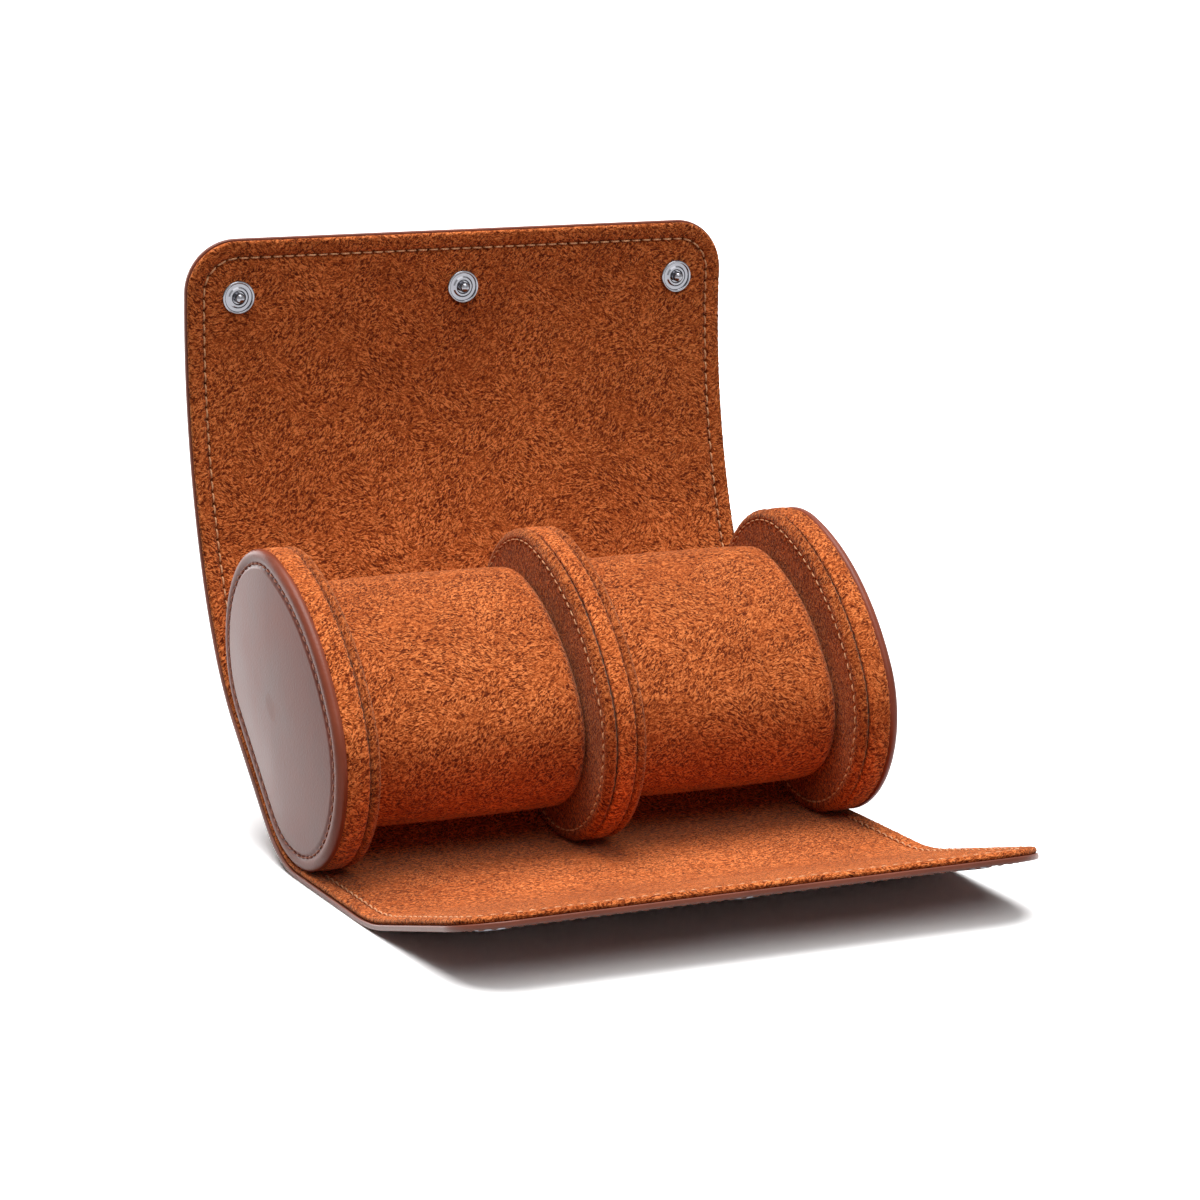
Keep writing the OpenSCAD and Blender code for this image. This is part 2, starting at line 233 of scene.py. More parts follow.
def wrap_place(s):
    """Where the wrap's suede face is at rest, s along it from the front of
    the base, and its heading there."""
    y = np.zeros(s.shape)
    z = np.zeros(s.shape)
    heading = np.zeros(s.shape)
    for at, y0, z0, h0, bend in BACK_KNOTS:
        on = s >= at
        d = (s - at)[on]
        h = h0 + bend * d
        heading[on] = h
        if bend:
            y[on] = y0 + (np.sin(h) - math.sin(h0)) / bend
            z[on] = z0 + (math.cos(h0) - np.cos(h)) / bend
        else:
            y[on] = y0 + d * math.cos(h0)
            z[on] = z0 + d * math.sin(h0)
    front = s < 0
    u = -s[front]
    begin = CREASE_AT - CREASE_HALF
    radius = 2 * CREASE_HALF / CREASE
    turned = np.clip((u - begin) / radius, 0, CREASE)
    beyond = np.maximum(u - begin - 2 * CREASE_HALF, 0)
    reach = np.minimum(u, begin) + radius * np.sin(turned) + beyond * math.cos(CREASE)
    y[front] = BASE_Y - reach
    z[front] = WRAP_T + radius * (1 - np.cos(turned)) + beyond * math.sin(CREASE)
    heading[front] = -turned
    return y, z, heading


def wrap_point(x, s, height):
    """Points at a height over the suede face, in millimetres."""
    x, s, height = np.broadcast_arrays(np.asarray(x, float), np.asarray(s, float), height)
    y, z, heading = wrap_place(s)
    return np.stack([x, y - height * np.sin(heading), z + height * np.cos(heading)], -1)


def edge_distance(x, s, inset):
    """How far a place on the wrap lies inside its outline."""
    side = CASE_W / 2 - inset - np.abs(x)
    tip = np.minimum(s - FRONT_END, REAR_END - s) - inset
    r = CORNER_R - inset
    corner = (side < r) & (tip < r)
    round_corner = r - np.hypot(r - side, r - tip)
    return np.where(corner, round_corner, np.minimum(side, tip))


def half_width(s, inset):
    """Half the wrap's width at s, less inside its round corners."""
    r = CORNER_R - inset
    tip = np.minimum(s - FRONT_END, REAR_END - s) - inset
    cut = np.where(tip < r, r - np.sqrt(np.maximum(r * r - (r - tip) ** 2, 0)), 0)
    return CASE_W / 2 - inset - cut


STITCH_IN = 5.2
STITCH_PITCH = 3.45
STITCH_LEN = 2.7


def stitch_route():
    """The line of sewing all round the wrap, as places (x, s)."""
    w = CASE_W / 2 - STITCH_IN
    low, high = FRONT_END + STITCH_IN, REAR_END - STITCH_IN
    r = CORNER_R - STITCH_IN
    corners = [(w - r, high - r, 0), (r - w, high - r, 90),
               (r - w, low + r, 180), (w - r, low + r, 270)]
    steps = 12
    route = []
    for cx, cs, first in corners:
        for k in range(steps + 1):
            a = math.radians(first + 90 * k / steps)
            route.append((cx + r * math.cos(a), cs + r * math.sin(a)))
    route.append(route[0])
    return np.array(route)


def spaced(route, pitch):
    """Even places along a route, a whole number of them, with directions."""
    steps = np.linalg.norm(np.diff(route, axis=0), axis=1)
    run = np.concatenate([[0], np.cumsum(steps)])
    count = round(run[-1] / pitch)
    at = (np.arange(count) + 0.5) * run[-1] / count
    places = np.stack([np.interp(at, run, route[:, k]) for k in range(route.shape[1])], -1)
    return places, at, run


WRAP_ROUTE = stitch_route()
WRAP_STITCHES, STITCH_AT, ROUTE_RUN = spaced(WRAP_ROUTE, STITCH_PITCH)


def on_route(at, route=WRAP_ROUTE, run=ROUTE_RUN):
    """Points of a closed route at these lengths along it."""
    at = np.mod(at, run[-1])
    return np.stack([np.interp(at, run, route[:, k]) for k in range(route.shape[1])], -1)


WRAP_HOLES = on_route(STITCH_AT + STITCH_PITCH / 2)


def near_holes(x, s, reach):
    """1 at the middle of a needle hole, falling to 0 away from it."""
    close = np.zeros(np.shape(x))
    for hole_x, hole_s in WRAP_HOLES:
        apart = (x - hole_x) ** 2 + (s - hole_s) ** 2
        np.maximum(close, np.exp(-apart / reach ** 2), out=close)
    return close


# The grid of a sheet: its step, the first columns inside its side edge, and
# the finer step across the seam.
GRID = 0.6
EDGE_COLUMNS = [0, 0.05, 0.17, 0.35, 0.6, 0.9, 1.3, 1.8, 2.4, 3, 3.6, 4.1, 4.5]
SEAM_GRID = 0.35


def side_columns(fine_to):
    """Distances of the columns inside the side edge, close near it."""
    columns = EDGE_COLUMNS + [EDGE_COLUMNS[-1] + SEAM_GRID * k for k in range(1, 6)]
    while columns[-1] + GRID < fine_to:
        columns.append(columns[-1] + GRID)
    return np.array(columns)


def tip_rows(length):
    """Distances of the rows inside a tip's edge: even round the corner."""
    turn = np.radians(np.linspace(0, 90, 37))
    rows = list(CORNER_R * (1 - np.cos(turn)))
    while rows[-1] + GRID < length:
        rows.append(rows[-1] + GRID)
    return np.array(rows[:-1] + [length])


def row_places(low, high):
    """Rows of a piece of the wrap from s = low to s = high."""
    if low <= FRONT_END:
        return FRONT_END + tip_rows(high - FRONT_END)
    if high >= REAR_END:
        return REAR_END - tip_rows(REAR_END - low)[::-1]
    return np.linspace(low, high, max(2, round((high - low) / GRID)) + 1)


# How far in the fine columns reach, and how many lie between them.
TIP_FINE, TIP_MIDDLE = 26, 170
PLAIN_FINE, PLAIN_MIDDLE = 8, 61
THINNEST = 0.02
# The burnished or cut edge shows this far in from the outline.
EDGE_SHOWN = 0.5
# How far round each needle hole the painted shade reaches.
HOLE_SHADE_REACH = 0.55


def sheet_piece(name, low, high, inset, depths, rounds, shape, materials):
    """One closed piece of a sheet between two depths under the suede face.
    rounds has the radii of its top and bottom edges.  shape(x, s, d, side)
    adds to the height of its top (side 1) or bottom (side -1)."""
    at_tip = low <= FRONT_END or high >= REAR_END
    rows = row_places(low, high)
    rows = np.clip(rows, FRONT_END + inset, REAR_END - inset)
    near = side_columns(TIP_FINE if at_tip else PLAIN_FINE)
    middle = np.linspace(0, 1, TIP_MIDDLE if at_tip else PLAIN_MIDDLE)[1:-1]
    x = []
    for s in rows:
        w = float(half_width(s, inset))
        left = -w + near * min(1, w / (CASE_W / 2 - inset))
        inner = left[-1] + (-2 * left[-1]) * middle
        x.append(np.concatenate([left, inner, -left[::-1]]))
    x = np.array(x)
    s = np.repeat(rows[:, None], x.shape[1], 1)
    d = np.maximum(edge_distance(x, s, inset), 0)

    def rounded(r):
        inside = np.clip(d / r, 0, 1)
        return r - r * np.sqrt(1 - (1 - inside) ** 2)

    h_top = -depths[0] - rounded(rounds[0]) + shape(x, s, d, 1)
    h_bottom = -depths[1] + rounded(rounds[1]) + shape(x, s, d, -1)
    h_bottom = np.minimum(h_bottom, h_top - THINNEST)
    n_rows, n_cols = x.shape
    points = np.concatenate([
        wrap_point(x, s, h_top).reshape(-1, 3), wrap_point(x, s, h_bottom).reshape(-1, 3)])
    count = n_rows * n_cols
    faces = grid_faces(n_rows, n_cols) + grid_faces(n_rows, n_cols, True, count)
    edged = int(len(materials) > 1)
    d_flat = d.reshape(-1)
    picks = [edged * int(min(d_flat[q % count] for q in f) < EDGE_SHOWN) for f in faces]
    loop = list(range(n_cols))
    loop += [i * n_cols + n_cols - 1 for i in range(1, n_rows)]
    loop += [(n_rows - 1) * n_cols + j for j in range(n_cols - 2, -1, -1)]
    loop += [i * n_cols for i in range(n_rows - 2, 0, -1)]
    grid = len(faces)
    for a, b in zip(loop, loop[1:] + loop[:1]):
        faces.append([a, count + a, count + b, b])
        picks.append(edged)
    piece = to_scene(name, points, faces, materials, picks)
    flat_from(piece, grid)
    # The painted shade of the needle holes, kept per point as "hole".
    holes = near_holes(x, s, HOLE_SHADE_REACH).reshape(-1)
    paint(piece, "hole", np.concatenate([holes, holes]))
    return piece


# s from just before the walls' front to just past where they leave the suede.
UNDER_WALLS = (-1, 90)
WALL_MARGIN = 1


def under_wall(x, s):
    """1 where a wall stands on the suede, so that nothing swells into it."""
    wall = np.abs(x) > CASE_W / 2 - END_T - WALL_MARGIN
    wall = wall | (np.abs(x) < DIVIDER_T / 2 + WALL_MARGIN)
    return (wall & (s > UNDER_WALLS[0]) & (s < UNDER_WALLS[1])).astype(float)


# Depth or height, and reach, of what the sewing and the nap do to the suede.
GROOVE, GROOVE_REACH = 0.42, 0.75
HOLE, HOLE_REACH = 0.55, 0.5
LIP = 0.16
NAP, NAP_SIZE = 0.05, 1.1
LIP_NAP, LIP_NAP_SIZE, LIP_NAP_REACH = 0.16, 0.9, 1.3


def suede_shape(x, s, d, side):
    """The sewn groove, the needle holes and the soft lip outside them."""
    if side < 0:
        return 0 * x
    along = np.abs(d + LINING_STEP - STITCH_IN)
    groove = GROOVE * np.exp(-(along / GROOVE_REACH) ** 2)
    lip = LIP * np.sin(np.clip(d / (STITCH_IN - LINING_STEP), 0, 1) * math.pi)
    holes = HOLE * near_holes(x, s, HOLE_REACH)
    place = np.stack([x, s, 0 * x], -1)
    at_lip = LIP_NAP * np.exp(-(d / LIP_NAP_REACH) ** 2)
    nap = NAP * rough(place, NAP_SIZE) + at_lip * rough(place, LIP_NAP_SIZE)
    free = 1 - under_wall(x, s)
    return free * (lip - groove - holes + nap)


LEATHER_GROOVE, LEATHER_GROOVE_REACH = 0.22, 0.7
LEATHER_HOLE, LEATHER_HOLE_REACH = 0.3, 0.45


def leather_shape(x, s, d, side):
    """The sewn groove and the needle holes of the leather's outer side."""
    if side > 0:
        return 0 * x
    along = np.abs(d - STITCH_IN)
    groove = LEATHER_GROOVE * np.exp(-(along / LEATHER_GROOVE_REACH) ** 2)
    return groove + LEATHER_HOLE * near_holes(x, s, LEATHER_HOLE_REACH)


# Half lengths of the bends between flap parts and next to the base.
BEND_HALF = 7
BASE_BEND_HALF = 3.5


def flap_rows(flap, folds, base_bend, bend):
    """Rows for wrap_pieces() of one flap, from the base to its tip."""
    bodies = ["case"] + [f"{flap}_flap_{k}" for k in (1, 2, 3, 4)]
    halves = [base_bend, bend, bend, bend]
    return [(f"{flap}_{k + 1}", bodies[k], bodies[k + 1], folds[k], halves[k]) for k in range(4)]


def wrap_pieces():
    """The wrap's pieces: first and last s, name, the joint's two bodies, and
    the place and half length of the bend, which runs from the first body to
    the second and so is negative on the front flap."""
    fronts = [-sum(FRONT_LEN[:k]) for k in range(4)]
    rears = [BASE_LEN + sum(length for length, turn in REAR[:k + 1]) for k in range(4)]
    rows = flap_rows("front", fronts, -BASE_BEND_HALF, -BEND_HALF)[::-1]
    rows.append(("base", "case", None, None, None))
    rows += flap_rows("rear", rears, BEND_HALF, BEND_HALF)
    cuts = [FRONT_END]
    cuts += [(a + b) / 2 for a, b in zip(fronts[3:0:-1], fronts[2::-1])]
    cuts += [BASE_FRONT / 2, rears[0] - REAR[0][0] / 2]
    cuts += [a + (b - a) / 2 for a, b in zip(rears, rears[1:])]
    cuts.append(REAR_END)
    return [(low, high, *row) for low, high, row in zip(cuts, cuts[1:], rows)]


# Room for the sockets in the front flap: round their discs in the suede,
# which keeps this much skin, and round their tubes in the leather.
DISC_HOLE_R = 4.7
TUBE_HOLE_R = 2.7
SKIN_LEFT = 0.7
CUT_PAST = 0.5


def drill(piece, xs, at, radius, low, high):
    """Round holes square to the wrap, between two heights over its suede."""
    cutters = []
    for x in xs:
        foot = wrap_point(x, at, low).reshape(3)
        axis = wrap_point(x, at, high).reshape(3) - foot
        side = np.array([1.0, 0, 0])
        other = np.cross(axis / np.linalg.norm(axis), side)
        turn = np.radians(np.arange(0, 360, 10))[:, None]
        ring = foot + radius * (np.cos(turn) * side + np.sin(turn) * other)
        n = len(ring)
        faces = grid_faces(2, n, False, 0, True)
        faces += [list(range(n))[::-1], list(range(n, 2 * n))]
        cutters.append(to_scene("cutter", np.concatenate([ring, ring + axis]), faces, []))
        face_outward(cutters[-1])
    for cutter in cutters:
        cut = piece.modifiers.new("hole", "BOOLEAN")
        cut.operation = "DIFFERENCE"
        cut.solver = "EXACT"
        cut.object = cutter
    shape = piece.evaluated_get(bpy.context.evaluated_depsgraph_get())
    drilled = bpy.data.meshes.new_from_object(shape)
    piece.modifiers.clear()
    piece.data = drilled
    for cutter in cutters:
        bpy.data.objects.remove(cutter)


def attach(piece, a, b, at, half):
    """Rides on one body; a piece across the joint between two is left as it lies at rest, on no body.
    """
    if b is None:
        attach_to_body(piece, a)
        return
    start = wrap_point(0, at - half, 0).reshape(3) * MM
    end = wrap_point(0, at + half, 0).reshape(3) * MM
    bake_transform(piece)


THREAD_SIDES = 6
THREAD_TAPER = 0.45


def stitch_mesh(lines, radius):
    """Threads: each line is points and normals from one hole to the next."""
    sides = THREAD_SIDES
    points = []
    faces = []
    for line, normal in lines:
        n = len(line)
        tangent = np.gradient(line, axis=0)
        tangent /= np.linalg.norm(tangent, axis=1)[:, None]
        across = np.cross(tangent, normal)
        across /= np.linalg.norm(across, axis=1)[:, None]
        rise = np.cross(across, tangent)
        first = len(points)
        for i in range(n):
            u = 2 * i / (n - 1) - 1
            r = radius * (1 - THREAD_TAPER * u ** 4)
            for k in range(sides):
                a = 2 * math.pi * k / sides
                points.append(line[i] + r * (math.cos(a) * across[i] + math.sin(a) * rise[i]))
        faces += grid_faces(n, sides, False, first, True)
        faces.append([first + k for k in range(sides)][::-1])
        faces.append([first + (n - 1) * sides + k for k in range(sides)])
    return np.array(points), faces


WRAP_THREAD_R = 0.27
# A stitch's arch over the sheet, how far its ends dive into their holes, and
# how deep it lies in the suede and in the leather.
ARCH = 0.34
DIVE = 0.3
SUEDE_BED = 0.3
LEATHER_BED = 0.12


def wrap_threads(name, low, high, side, material):
    """The stitches of one piece of the wrap, on its suede (side 1) or leather."""
    lines = []
    u = np.linspace(-1, 1, 9)
    for at, (x, s) in zip(STITCH_AT, WRAP_STITCHES):
        if not low <= s < high:
            continue
        if side > 0 and UNDER_WALLS[0] < s < UNDER_WALLS[1]:
            continue
        place = on_route(at + u * STITCH_LEN / 2)
        arch = ARCH * (1 - u ** 2) - DIVE * u ** 6
        height = arch - SUEDE_BED if side > 0 else -WRAP_T + LEATHER_BED - arch
        line = wrap_point(place[:, 0], place[:, 1], height)
        above = wrap_point(place[:, 0], place[:, 1], height + side)
        lines.append((line, above - line))
    if not lines:
        return None
    points, faces = stitch_mesh(lines, WRAP_THREAD_R)
    return to_scene(name, points, faces, [material])


# ------------------------------------------------------------ materials

def new_material(name):
    """A material with its nodes, its links and its Principled shader."""
    material = bpy.data.materials.new(name)
    material.use_nodes = True
    nodes = material.node_tree.nodes
    return material, nodes, material.node_tree.links, nodes["Principled BSDF"]


def noise(nodes, links, coords, scale, detail=2, roughness=0.5, distortion=0):
    """Noise whose scale counts its bumps per metre."""
    node = nodes.new("ShaderNodeTexNoise")
    node.inputs["Scale"].default_value = scale
    node.inputs["Detail"].default_value = detail
    node.inputs["Roughness"].default_value = roughness
    node.inputs["Distortion"].default_value = distortion
    links.new(coords, node.inputs["Vector"])
    return node.outputs["Fac"]


def ramp(nodes, links, value, stops):
    """Colours from a value, by stops of (value, colour)."""
    node = nodes.new("ShaderNodeValToRGB")
    while len(node.color_ramp.elements) < len(stops):
        node.color_ramp.elements.new(0.5)
    for element, (at, color) in zip(node.color_ramp.elements, stops):
        element.position = at
        element.color = (*color, 1)
    links.new(value, node.inputs["Fac"])
    return node.outputs["Color"]


def mix_color(nodes, links, fac, a, b, kind="MIX"):
    node = nodes.new("ShaderNodeMix")
    node.data_type = "RGBA"
    node.blend_type = kind
    fac_socket, a_socket, b_socket = node.inputs[0], node.inputs[6], node.inputs[7]
    for socket, value in ((fac_socket, fac), (a_socket, a), (b_socket, b)):
        if isinstance(value, (int, float)):
            socket.default_value = value
        elif isinstance(value, tuple):
            socket.default_value = (*value, 1)
        else:
            links.new(value, socket)
    return node.outputs[2]


def mix_float(nodes, links, fac, a, b):
    node = nodes.new("ShaderNodeMix")
    links.new(fac, node.inputs[0])
    links.new(a, node.inputs[2])
    links.new(b, node.inputs[3])
    return node.outputs[0]


def math_node(nodes, links, operation, a, b=0.0, clamp=False):
    node = nodes.new("ShaderNodeMath")
    node.operation = operation
    node.use_clamp = clamp
    for socket, value in ((node.inputs[0], a), (node.inputs[1], b)):
        if isinstance(value, (int, float)):
            socket.default_value = value
        else:
            links.new(value, socket)
    return node.outputs[0]


def bump(nodes, links, height, distance, strength, normal=None):
    node = nodes.new("ShaderNodeBump")
    node.inputs["Distance"].default_value = distance
    node.inputs["Strength"].default_value = strength
    links.new(height, node.inputs["Height"])
    if normal is not None:
        links.new(normal, node.inputs["Normal"])
    return node.outputs["Normal"]


def stretched(nodes, links, coords, along, factor):
    """Coordinates that draw a texture out along one direction."""
    direction = nodes.new("ShaderNodeCombineXYZ")
    for socket, value in zip(direction.inputs, Vector(along).normalized()):
        socket.default_value = value
    reach = nodes.new("ShaderNodeVectorMath")
    reach.operation = "DOT_PRODUCT"
    links.new(coords, reach.inputs[0])
    links.new(direction.outputs[0], reach.inputs[1])
    part = nodes.new("ShaderNodeVectorMath")
    part.operation = "SCALE"
    less = math_node(nodes, links, "MULTIPLY", reach.outputs["Value"], 1 / factor - 1)
    links.new(direction.outputs[0], part.inputs[0])
    links.new(less, part.inputs["Scale"])
    total = nodes.new("ShaderNodeVectorMath")
    links.new(coords, total.inputs[0])
    links.new(part.outputs[0], total.inputs[1])
    return total.outputs[0]


def add_hole_shade(nodes, links, color, hole):
    """Paints shade into a colour in the needle holes, which the mesh keeps as "hole"."""
    layer = nodes.new("ShaderNodeAttribute")
    layer.attribute_name = "hole"
    return mix_color(nodes, links, layer.outputs["Fac"], color, hole)


# The nap's colours: painted shade in the gaps between strands, the strands' own tone, and a painted
# highlight on their tips.
NAP_SHADE_TONE_HIGHLIGHT = [(0.14, 0.02, 0.004), (0.53, 0.117, 0.025), (0.92, 0.275, 0.08)]
NAP_STOPS = (0.36, 0.5, 0.63)
# The directions that the nap lies in, which take turns in soft patches.
NAP_LAY = [(0.82, -0.2, -0.55), (1, 0.1, 0.15), (0.7, 0.4, 0.6)]
LAY_SCALES = (61, 47)
NAP_LONG = 2.1
NAP_SCALE = 1750
TUFT_SCALE = 420
PATCH_SCALE = 34
PATCH_LONG = 1.8
NAP_HEIGHT = 0.0006
TUFT_STRENGTH = 0.3


def make_suede(name, tone, holes=False):
    """Napped suede: short curly strands of their own tone over gaps in painted shade, with painted
    highlights on their tips, and brushed patches.
    """
    material, nodes, links, shader = new_material(name)
    coords = nodes.new("ShaderNodeTexCoord").outputs["Object"]
    layers = []
    for lay in NAP_LAY:
        drawn = stretched(nodes, links, coords, lay, NAP_LONG)
        layers.append(noise(nodes, links, drawn, NAP_SCALE, detail=1.3, distortion=1.0))
    nap = layers[0]
    for scale, other in zip(LAY_SCALES, layers[1:]):
        side = noise(nodes, links, coords, scale, detail=1, distortion=0.8)
        side = ramp(nodes, links, side, [(0.46, (0, 0, 0)), (0.54, (1, 1, 1))])
        nap = mix_float(nodes, links, side, nap, other)
    tuft = noise(nodes, links, coords, TUFT_SCALE, detail=2, distortion=0.8)
    drawn = stretched(nodes, links, coords, (1, 0, 0.1), PATCH_LONG)
    patch = noise(nodes, links, drawn, PATCH_SCALE, detail=3, roughness=0.55, distortion=0.6)
    # Painted shade in the nap's gaps and painted highlight on its tips, over the strands' own tone.
    tones = [tuple(tone * c for c in color) for color in NAP_SHADE_TONE_HIGHLIGHT]
    color = ramp(nodes, links, nap, list(zip(NAP_STOPS, tones)))
    brushed = ramp(nodes, links, patch, [(0.32, (0.80, 0.73, 0.68)), (0.62, (1.04, 1.05, 1.06))])
    color = mix_color(nodes, links, 1.0, color, brushed, "MULTIPLY")
    lumps = ramp(nodes, links, tuft, [(0.3, (0.86, 0.83, 0.8)), (0.7, (1.12, 1.13, 1.14))])
    color = mix_color(nodes, links, 1.0, color, lumps, "MULTIPLY")
    # Painted shade in the needle holes.
    if holes:
        color = add_hole_shade(nodes, links, color, (0.03, 0.008, 0.003))
    links.new(color, shader.inputs["Base Color"])
    shader.inputs["Roughness"].default_value = 0.95
    shader.inputs["Specular IOR Level"].default_value = 0.1
    shader.inputs["Sheen Weight"].default_value = 0.35
    shader.inputs["Sheen Roughness"].default_value = 0.4
    shader.inputs["Sheen Tint"].default_value = (1.0, 0.62, 0.4, 1)
    low = bump(nodes, links, tuft, NAP_HEIGHT, TUFT_STRENGTH)
    links.new(bump(nodes, links, nap, NAP_HEIGHT, 1.0, low), shader.inputs["Normal"])
    return material


def vary_roughness(nodes, links, shader, pattern, middle, spread):
    """Roughness that follows a pattern about this middle value."""
    vary = math_node(nodes, links, "MULTIPLY", pattern, spread)
    vary = math_node(nodes, links, "ADD", vary, middle - spread / 2)
    links.new(vary, shader.inputs["Roughness"])


CLOUD_SCALE = 55
PORE_SCALE = 1500
FINE_SCALE = 900
GRAIN_HEIGHT = 0.00012


def make_leather(name, dark, light, roughness, gloss, holes=False):
    """Smooth finished leather: faint cloudy colour and a fine grain."""
    material, nodes, links, shader = new_material(name)
    coords = nodes.new("ShaderNodeTexCoord").outputs["Object"]
    cloud = noise(nodes, links, coords, CLOUD_SCALE, detail=4, roughness=0.6, distortion=0.4)
    fine = noise(nodes, links, coords, FINE_SCALE, detail=3, roughness=0.6)
    color = ramp(nodes, links, cloud, [(0.3, dark), (0.7, light)])
    # Painted shade in the needle holes.
    if holes:
        color = add_hole_shade(nodes, links, color, (0.008, 0.004, 0.003))
    links.new(color, shader.inputs["Base Color"])
    vary_roughness(nodes, links, shader, cloud, roughness, 0.12)
    shader.inputs["Specular IOR Level"].default_value = gloss
    cells = nodes.new("ShaderNodeTexVoronoi")
    cells.inputs["Scale"].default_value = PORE_SCALE
    links.new(coords, cells.inputs["Vector"])
    grain = math_node(nodes, links, "ADD", cells.outputs["Distance"], fine)
    links.new(bump(nodes, links, grain, GRAIN_HEIGHT, 0.22), shader.inputs["Normal"])
    return material


STRAND_SCALE = 2600
STRAND_HEIGHT = 0.0001


def make_thread(name, dark, light):
    """A matt fibre: the sewing, and the hidden boards."""
    material, nodes, links, shader = new_material(name)
    coords = nodes.new("ShaderNodeTexCoord").outputs["Object"]
    strands = noise(nodes, links, coords, STRAND_SCALE, detail=2, distortion=0.5)
    color = ramp(nodes, links, strands, [(0.35, dark), (0.65, light)])
    links.new(color, shader.inputs["Base Color"])
    shader.inputs["Roughness"].default_value = 0.6
    links.new(bump(nodes, links, strands, STRAND_HEIGHT, 0.6), shader.inputs["Normal"])
    return material


SMEAR_SCALE = 380
SMEAR_DARK = 0.86


def make_metal(name, tone, roughness):
    """Plated metal with faint smears."""
    material, nodes, links, shader = new_material(name)
    coords = nodes.new("ShaderNodeTexCoord").outputs["Object"]
    smear = noise(nodes, links, coords, SMEAR_SCALE, detail=3, roughness=0.6)
    dark = tuple(SMEAR_DARK * c for c in tone)
    color = ramp(nodes, links, smear, [(0.3, dark), (0.7, tone)])
    links.new(color, shader.inputs["Base Color"])
    shader.inputs["Metallic"].default_value = 1
    vary_roughness(nodes, links, shader, smear, roughness, 0.1)
    return material


# Copies of one suede that differ only in brightness, each set for the light its part shows: painted
# lighter on the wrap and on the wall bands, which catch the light, a little darker on the pillows, and
# darker still on the padded wall faces, which lie in shade.
SUEDE = make_suede("suede", 1.08, True)
SUEDE_WALL_PAINTED_LIT = make_suede("suede_wall", 1.13)
SUEDE_FACE_PAINTED_SHADE = make_suede("suede_face", 0.84)
SUEDE_PILLOW = make_suede("suede_pillow", 0.94)
LEATHER = make_leather("leather", (0.11, 0.026, 0.013), (0.15, 0.038, 0.02), 0.38, 0.35, True)
LEATHER_EDGE = make_leather("leather_edge", (0.17, 0.04, 0.02), (0.27, 0.07, 0.036), 0.36, 0.35)
LEATHER_PLAIN = make_leather("leather_face", (0.17, 0.03, 0.012), (0.23, 0.042, 0.018), 0.34, 0.25)
LEATHER_ROLL = make_leather("leather_roll", (0.19, 0.04, 0.018), (0.27, 0.06, 0.028), 0.36, 0.2)
THREAD = make_thread("thread_suede", (0.5, 0.18, 0.07), (0.95, 0.52, 0.26))
THREAD_DARK = make_thread("thread_leather", (0.20, 0.05, 0.025), (0.5, 0.17, 0.09))
METAL = make_metal("chrome", (0.22, 0.22, 0.24), 0.11)
METAL_DARK = make_metal("gunmetal", (0.20, 0.20, 0.22), 0.16)
BOARD = make_thread("board", (0.10, 0.06, 0.035), (0.16, 0.10, 0.06))


# ------------------------------------------------------ dress the wrap

# Radii of the sheets' edges, on the suede's side and on the leather's.
SUEDE_ROUNDS = (0.8, 0.8)
LEATHER_ROUNDS = (0.35, 0.6)

for low, high, name, a, b, at, half in wrap_pieces():
    suede = sheet_piece("suede_" + name, low, high, LINING_STEP, (0, LINING_T),
                        SUEDE_ROUNDS, suede_shape, [SUEDE])
    leather = sheet_piece("leather_" + name, low, high, 0, (LINING_T, WRAP_T),
                          LEATHER_ROUNDS, leather_shape, [LEATHER, LEATHER_EDGE])
    if name == "front_4":
        socket_at = FRONT_END + SOCKET_IN
        drill(suede, SNAP_X, socket_at, DISC_HOLE_R, -LINING_T - CUT_PAST, -SKIN_LEFT)
        drill(leather, SNAP_X, socket_at, TUBE_HOLE_R, -WRAP_T - CUT_PAST, -LINING_T + CUT_PAST)
    attach(suede, a, b, at, half)
    attach(leather, a, b, at, half)
    for side, sheet, material in ((1, "suede_", THREAD), (-1, "leather_", THREAD_DARK)):
        thread = wrap_threads("stitches_" + sheet + name, low, high, side, material)
        if thread is not None:
            attach(thread, a, b, at, half)
    if name == "base":
        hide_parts("base_lining")
        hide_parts("base_leather")
    else:
        flap, number = name.split("_")
        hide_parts(f"{flap}_lining_{number}")
        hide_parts(f"{flap}_leather_{number}")


# ------------------------------------------------------------ the walls

def angle_of(v):
    """The direction of a plane vector."""
    return math.atan2(v[1], v[0])


